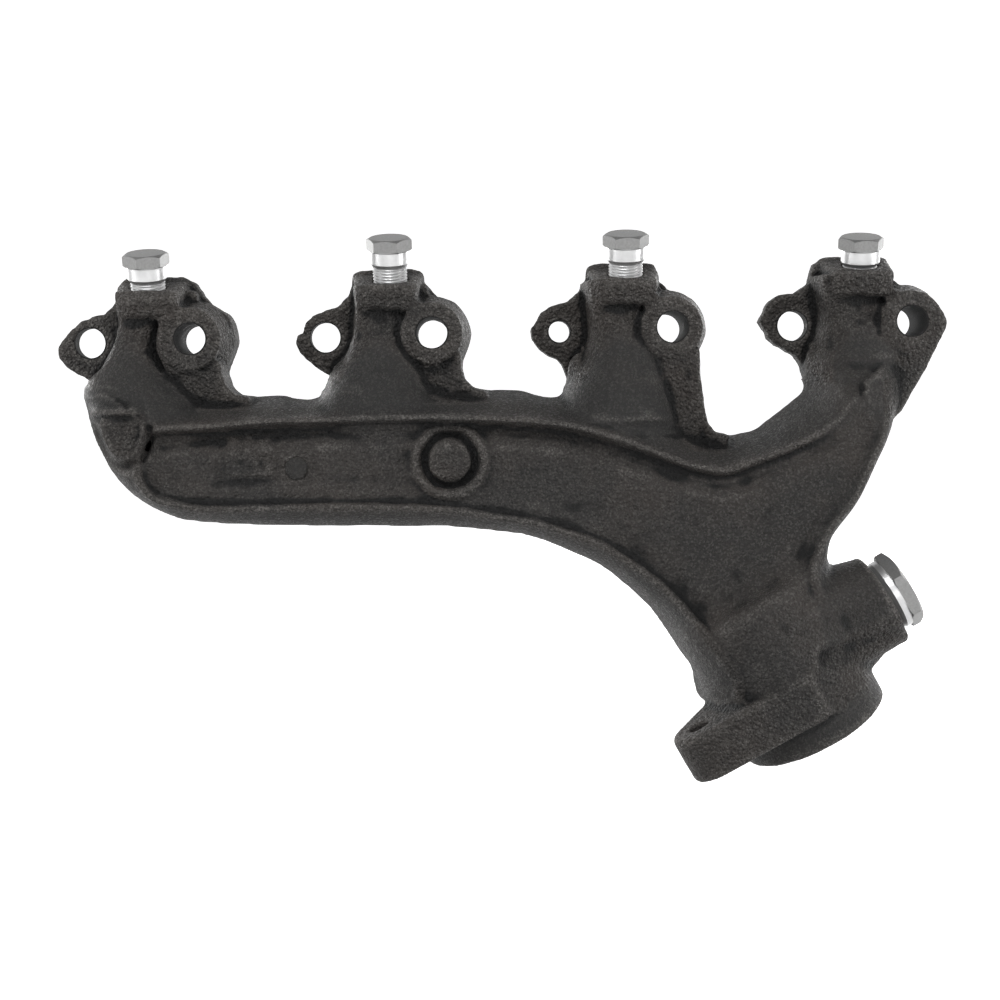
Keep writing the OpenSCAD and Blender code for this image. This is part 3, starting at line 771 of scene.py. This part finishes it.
def boreShadePiece(name, at, radius, length):
    # a thin near-black tube just inside a bolt hole, which puts painted shade on the hole's wall: a closed
    # rectangular profile turned about the hole's axis
    around = 72
    angle = np.linspace(0, 2 * math.pi, around, endpoint=False)
    profile = np.array([(radius, 0.6), (radius, length), (radius + 0.6, length), (radius + 0.6, 0.6)])
    x = at + profile[:, :1] * np.cos(angle)
    z = profile[:, :1] * np.sin(angle)
    verts = np.stack([x, profile[:, 1:] + 0 * x, z], -1).reshape(-1, 3)
    i = np.arange(4 * around).reshape(4, around)
    j, up = np.roll(i, -1, 1), np.roll(i, -1, 0)
    faces = np.stack([i, j, np.roll(up, -1, 1), up], -1).reshape(-1, 4)
    return makePiece(name, verts, faces.tolist(), 40)


# painted shade: a near-black tube lines each bolt hole
boreShadeTubes = []
for n in range(4):
    for word, sign, radius, face in zip(("Left", "Right"), (-1, 1), holeRadius[n],
                                        (earShape["ear"], bossShape["length"])):
        hx = portX[n] + sign * holeOffset
        boreShadeTube = boreShadePiece("boltHoleShade%s%d" % (word, n + 1), hx, radius - 0.05, face - 0.3)
        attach(boreShadeTube, "casting")
        boreShadeTubes.append(boreShadeTube)
slugDisc = slugPiece()
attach(slugDisc, "casting")
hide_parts("core_plug")


# materials
def addNode(tree, kind, **values):
    # a node with its settings and sockets by name, set out in rows in the order of making
    node = tree.nodes.new(kind)
    count = len(tree.nodes)
    node.location = (200 * (count // 4) - 1800, -180 * (count % 4))
    for key, value in values.items():
        if key in node.inputs:
            node.inputs[key].default_value = value
        else:
            setattr(node, key, value)
    return node


def joined(tree, value, socket):
    # a socket is linked, anything else is set
    if hasattr(value, "is_output"):
        tree.links.new(value, socket)
    else:
        socket.default_value = value


def maths(tree, operation, *values, clamp=False):
    node = addNode(tree, "ShaderNodeMath", operation=operation, use_clamp=clamp)
    for value, socket in zip(values, node.inputs):
        joined(tree, value, socket)
    return node.outputs[0]


def mixed(tree, first, second, factor):
    # two colours, each a socket or three numbers
    node = addNode(tree, "ShaderNodeMix", data_type="RGBA")
    for key, colour in (("A", first), ("B", second)):
        joined(tree, colour if hasattr(colour, "is_output") else (*colour, 1), node.inputs[key])
    joined(tree, factor, node.inputs["Factor"])
    return node.outputs["Result"]


def spread(tree, source, low, high):
    # from low to high while the source goes from 0 to 1
    node = addNode(tree, "ShaderNodeMapRange", **{"To Min": low, "To Max": high})
    joined(tree, source, node.inputs["Value"])
    return node.outputs["Result"]


def bumped(tree, height, distance, strength=1.0):
    node = addNode(tree, "ShaderNodeBump", Strength=strength, Distance=distance)
    joined(tree, height, node.inputs["Height"])
    return node.outputs["Normal"]


def newMaterial(name):
    material = bpy.data.materials.new(name)
    material.use_nodes = True
    return material, material.node_tree, material.node_tree.nodes["Principled BSDF"].inputs


def castGrainGroup():
    # sand-cast skin: grain height, speckle mask and blotch mask from object coordinates
    group = bpy.data.node_groups.new("sandCastGrain", "ShaderNodeTree")
    sockets = (("Grain size", "INPUT", 1.0), ("Coarseness", "INPUT", 0.3), ("Height", "OUTPUT", 0.0),
               ("Speckle", "OUTPUT", 0.0), ("Blotch", "OUTPUT", 0.0))
    for name, way, value in sockets:
        group.interface.new_socket(name, in_out=way, socket_type="NodeSocketFloat").default_value = value
    start = addNode(group, "NodeGroupInput")
    coords = addNode(group, "ShaderNodeTexCoord")

    def texture(kind, scale, output, **values):
        node = addNode(group, kind, **values)
        joined(group, coords.outputs["Object"], node.inputs["Vector"])
        joined(group, maths(group, "MULTIPLY", start.outputs["Grain size"], scale), node.inputs["Scale"])
        return node.outputs[output]

    def summed(a, timesA, b, timesB):
        return maths(group, "ADD", maths(group, "MULTIPLY", a, timesA), maths(group, "MULTIPLY", b, timesB))

    def lifted(value, floor, gain):
        return maths(group, "MULTIPLY", maths(group, "SUBTRACT", value, floor), gain, clamp=True)

    fine = texture("ShaderNodeTexNoise", 820, "Fac", Detail=3, Roughness=0.65)
    coarse = texture("ShaderNodeTexNoise", 430, "Fac", Detail=3, Roughness=0.6)
    pebble = maths(group, "SUBTRACT", 1.0, texture("ShaderNodeTexVoronoi", 600, "Distance"))
    grains = texture("ShaderNodeTexVoronoi", 1150, "Color")
    dust = texture("ShaderNodeTexNoise", 900, "Fac", Detail=2, Roughness=0.6)
    blotch = texture("ShaderNodeTexNoise", 26, "Fac", Detail=4, Roughness=0.55)
    end = addNode(group, "NodeGroupOutput")
    height = summed(fine, 0.55, summed(coarse, 1.3, pebble, 0.8), start.outputs["Coarseness"])
    joined(group, height, end.inputs["Height"])
    joined(group, lifted(summed(grains, 0.75, dust, 0.45), 0.60, 3.6), end.inputs["Speckle"])
    joined(group, lifted(blotch, 0.38, 3.2), end.inputs["Blotch"])
    return group


castGrain = castGrainGroup()
# the ridges are mixed lighter, partly wear and partly painted highlight, and the creases are darkened with painted
# shade
ironLook = {
    "dark": (0.030, 0.0285, 0.0275), "warm": (0.050, 0.0435, 0.0395), "smooth": (0.020, 0.0196, 0.0192),
    "speck": (0.21, 0.197, 0.183), "specks": 0.20, "rubbedAndHighlit": (0.17, 0.16, 0.15), "hollow": (0.006, 0.006, 0.006),
    "machined": (0.16, 0.155, 0.15), "roughness": (0.63, 0.41), "bump": 0.0026, "specular": 0.2,
}
slugLook = dict(ironLook, dark=(0.075, 0.062, 0.051), warm=(0.11, 0.088, 0.07))
# near-black colours of the painted shade inside the bolt holes
boreShadeLook = {"dark": (0.006, 0.006, 0.0062), "pale": (0.014, 0.0135, 0.013), "bump": 0.0004, "roughness": 0.75,
            "grain": 1.6, "coarseness": 0.1, "specular": 0.2}
# each pair is the turned collar, then the matt hexagon
steelLook = {
    "bright": ((0.34, 0.34, 0.342), (0.60, 0.60, 0.60)), "matt": ((0.15, 0.15, 0.148), (0.26, 0.26, 0.257)),
    "roughness": (0.34, 0.48), "metallic": (0.8, 0.7), "smear": 120, "grain": 900, "bump": 0.0003, "strength": 0.25,
}


def ironMaterial(name, look):
    # blotchy iron with bright grains; painted shade darkens the hollows and creases, and the ridges are mixed
    # lighter, partly wear and partly painted highlight
    material, tree, shader = newMaterial(name)
    sandy, ridge, cutFace = (addNode(tree, "ShaderNodeAttribute", attribute_name=word).outputs["Fac"]
                             for word in ("sand", "ridge", "machined"))
    grain = addNode(tree, "ShaderNodeGroup", node_tree=castGrain)
    joined(tree, sandy, grain.inputs["Coarseness"])
    speckle = grain.outputs["Speckle"]

    def scaled(source, times, plus):
        return maths(tree, "MULTIPLY_ADD", source, times, plus, clamp=True)

    colour = mixed(tree, look["dark"], look["warm"], grain.outputs["Blotch"])
    colour = mixed(tree, colour, look["smooth"], scaled(sandy, -1.6, 0.95))
    speckAmount = maths(tree, "MULTIPLY", speckle, scaled(sandy, look["specks"], 0.07))
    colour = mixed(tree, colour, look["speck"], speckAmount)
    # ridges lighter: partly wear, partly painted highlight
    rubbedAndHighlit = maths(tree, "MULTIPLY", scaled(ridge, 1.7, -0.42), scaled(speckle, 0.55, 0.2))
    colour = mixed(tree, colour, look["rubbedAndHighlit"], rubbedAndHighlit)
    # painted shade: creases and hollows darkened nearly to black
    colour = mixed(tree, colour, look["hollow"], scaled(ridge, -2.6, -0.42))
    colour = mixed(tree, colour, look["machined"], cutFace)
    joined(tree, colour, shader["Base Color"])
    joined(tree, spread(tree, speckle, *look["roughness"]), shader["Roughness"])
    joined(tree, bumped(tree, grain.outputs["Height"], look["bump"]), shader["Normal"])
    shader["Specular IOR Level"].default_value = look["specular"]
    return material


def boreShadeMaterial(name, look):
    # painted shade for the bolt holes: near-black, with faint blotches and grain
    material, tree, shader = newMaterial(name)
    grain = addNode(tree, "ShaderNodeGroup", node_tree=castGrain)
    grain.inputs["Grain size"].default_value = look["grain"]
    grain.inputs["Coarseness"].default_value = look["coarseness"]
    tone = mixed(tree, look["dark"], look["pale"], grain.outputs["Blotch"])
    joined(tree, tone, shader["Base Color"])
    joined(tree, bumped(tree, grain.outputs["Height"], look["bump"]), shader["Normal"])
    shader["Roughness"].default_value = look["roughness"]
    shader["Specular IOR Level"].default_value = look["specular"]
    return material


def plugMaterial(name, along, collarEnd, look):
    # turned bright below the hexagon and matt above, told apart by the distance along the axis
    material, tree, shader = newMaterial(name)
    coords = addNode(tree, "ShaderNodeTexCoord").outputs["Object"]
    dot = addNode(tree, "ShaderNodeVectorMath", operation="DOT_PRODUCT")
    joined(tree, coords, dot.inputs[0])
    dot.inputs[1].default_value = along
    head = addNode(tree, "ShaderNodeMapRange", **{"From Min": collarEnd - 0.0001, "From Max": collarEnd})
    joined(tree, dot.outputs["Value"], head.inputs["Value"])
    head = head.outputs["Result"]
    noise = addNode(tree, "ShaderNodeTexNoise", Scale=look["grain"], Detail=4)
    smear = addNode(tree, "ShaderNodeTexNoise", Scale=look["smear"], Detail=3)
    for node in (noise, smear):
        joined(tree, coords, node.inputs["Vector"])
    bright = mixed(tree, *look["bright"], smear.outputs["Fac"])
    matt = mixed(tree, *look["matt"], noise.outputs["Fac"])
    joined(tree, mixed(tree, bright, matt, head), shader["Base Color"])
    joined(tree, spread(tree, head, *look["roughness"]), shader["Roughness"])
    joined(tree, spread(tree, head, *look["metallic"]), shader["Metallic"])
    joined(tree, bumped(tree, noise.outputs["Fac"], look["bump"], look["strength"]), shader["Normal"])
    return material


def assign(obj, material):
    obj.data.materials.clear()
    obj.data.materials.append(material)


assign(casting, ironMaterial("castIronSkin", ironLook))
assign(slugDisc, ironMaterial("coreSlugSkin", slugLook))
boreShadeIron = boreShadeMaterial("paintedBoreShade", boreShadeLook)
for boreShadeTube in boreShadeTubes:
    assign(boreShadeTube, boreShadeIron)
c, s = math.cos(block["lean"]), math.sin(block["lean"])
for n, plug in enumerate(airPlugs):
    collarEnd = block["depth"] * s + block["z"][n] * c + airPlug["gap"][n] + airPlug["collarLength"]
    assign(plug, plugMaterial("airPlugSteel%d" % (n + 1), (0.0, -s, c), collarEnd * mm, steelLook))
c, s = math.cos(largeBoss["rise"]), math.sin(largeBoss["rise"])
collarEnd = largeBoss["at"][0] * c + largeBoss["at"][2] * s + largePlug["gap"][0] + largePlug["collarLength"]
assign(bigPlug, plugMaterial("largePlugSteel", (c, 0.0, s), collarEnd * mm, steelLook))
print("materials")

# floor, light and camera, in metres
studio = {"floorZ": -0.2405, "reach": 2.4, "bend": 0.8, "wallTop": 4.0, "pale": 0.92, "sky": 0.07, "glow": 0.88}


def sweepSurface():
    # a round floor that curves up into a wall: a quarter round between two straight runs, turned about z
    around = 96
    t = np.linspace(0, math.pi / 2, 20)[1:]
    bend, inner = studio["bend"], studio["reach"] - studio["bend"]
    radius = np.concatenate([[0.05, inner], inner + bend * np.sin(t), [studio["reach"]]])[:, None]
    height = np.concatenate([[0.0, 0.0], bend - bend * np.cos(t), [studio["wallTop"]]])[:, None] + studio["floorZ"]
    angle = np.linspace(0, 2 * math.pi, around, endpoint=False)
    verts = np.stack([radius * np.cos(angle), radius * np.sin(angle), height + 0 * angle], -1).reshape(-1, 3)
    i = np.arange((len(radius) - 1) * around).reshape(-1, around)
    j = np.roll(i, -1, 1)
    faces = np.stack([i, i + around, j + around, j], -1).reshape(-1, 4).tolist()
    faces.append(list(range(around)))
    mesh = bpy.data.meshes.new("studioSweep")
    mesh.from_pydata(verts.tolist(), [], faces)
    mesh.polygons.foreach_set("use_smooth", np.ones(len(faces), bool))
    obj = bpy.data.objects.new("studioSweep", mesh)
    bpy.context.scene.collection.objects.link(obj)
    material, _, shader = newMaterial("paleFloor")
    shader["Base Color"].default_value = (*[studio["pale"]] * 3, 1)
    shader["Roughness"].default_value = 0.9
    shader["Emission Color"].default_value = (1, 1, 1, 1)
    shader["Emission Strength"].default_value = studio["glow"]
    mesh.materials.append(material)
    obj.visible_diffuse = False  # the pale floor doesn't flood the casting from below


def areaLight(name, at, target, size, power):
    data = bpy.data.lights.new(name, "AREA")
    data.shape = "RECTANGLE"
    data.size, data.size_y = size
    data.energy = power
    obj = bpy.data.objects.new(name, data)
    obj.location = at
    obj.rotation_euler = (Vector(target) - Vector(at)).to_track_quat("-Z", "Y").to_euler()
    bpy.context.scene.collection.objects.link(obj)


sweepSurface()
# name, place, target, size and power
lights = [
    ("keyAbove", (-0.25, -0.95, 0.85), (0, 0, -0.08), (0.8, 0.35), 9.5),
    ("softFront", (0.15, -1.6, 0.0), (0, 0, -0.08), (0.9, 0.6), 5.5),
    ("sideLeft", (-1.30, -0.35, 0.10), (0, 0, -0.08), (0.4, 0.9), 7.0),
    ("sideRight", (1.30, -0.30, -0.02), (0, 0, -0.10), (0.4, 0.8), 11.0),
    ("softBackLeft", (-0.9, 1.2, 0.25), (0, 0, -0.1), (0.8, 0.6), 9.0),
    ("softBackRight", (0.9, 1.2, 0.25), (0, 0, -0.1), (0.8, 0.6), 9.0),
]
for light in lights:
    areaLight(*light)
world = bpy.data.worlds.new("studio")
bpy.context.scene.world = world
world.use_nodes = True
world.node_tree.nodes["Background"].inputs["Color"].default_value = (1, 1, 1, 1)
world.node_tree.nodes["Background"].inputs["Strength"].default_value = studio["sky"]

# focal length in picture widths, turns in degrees, and the object's origin seen from the camera in mm
view = {"focal": 1.678, "yaw": -0.88, "pitch": 3.46, "roll": -1.46, "offset": (-2.2, -89.4, 903.1)}
# camera axes: right, down and forward, turned by roll, pitch and yaw
turn = np.array([[1, 0, 0], [0, 0, -1], [0, 1, 0]])
for key, axis in (("yaw", "Y"), ("pitch", "X"), ("roll", "Z")):
    turn = np.array(Matrix.Rotation(math.radians(view[key]), 3, axis)) @ turn
matrix = np.eye(4)
matrix[:3, 0], matrix[:3, 1], matrix[:3, 2] = turn[0], -turn[1], -turn[2]
matrix[:3, 3] = -turn.T @ np.array(view["offset"]) * mm
cameraData = bpy.data.cameras.new("camera")
cameraData.sensor_width = 36
cameraData.lens = cameraData.sensor_width * view["focal"]
camera = bpy.data.objects.new("camera", cameraData)
bpy.context.scene.collection.objects.link(camera)
camera.matrix_world = Matrix(matrix.tolist())
bpy.context.scene.camera = camera
bpy.context.scene.view_settings.view_transform = "Standard"
print("studio")
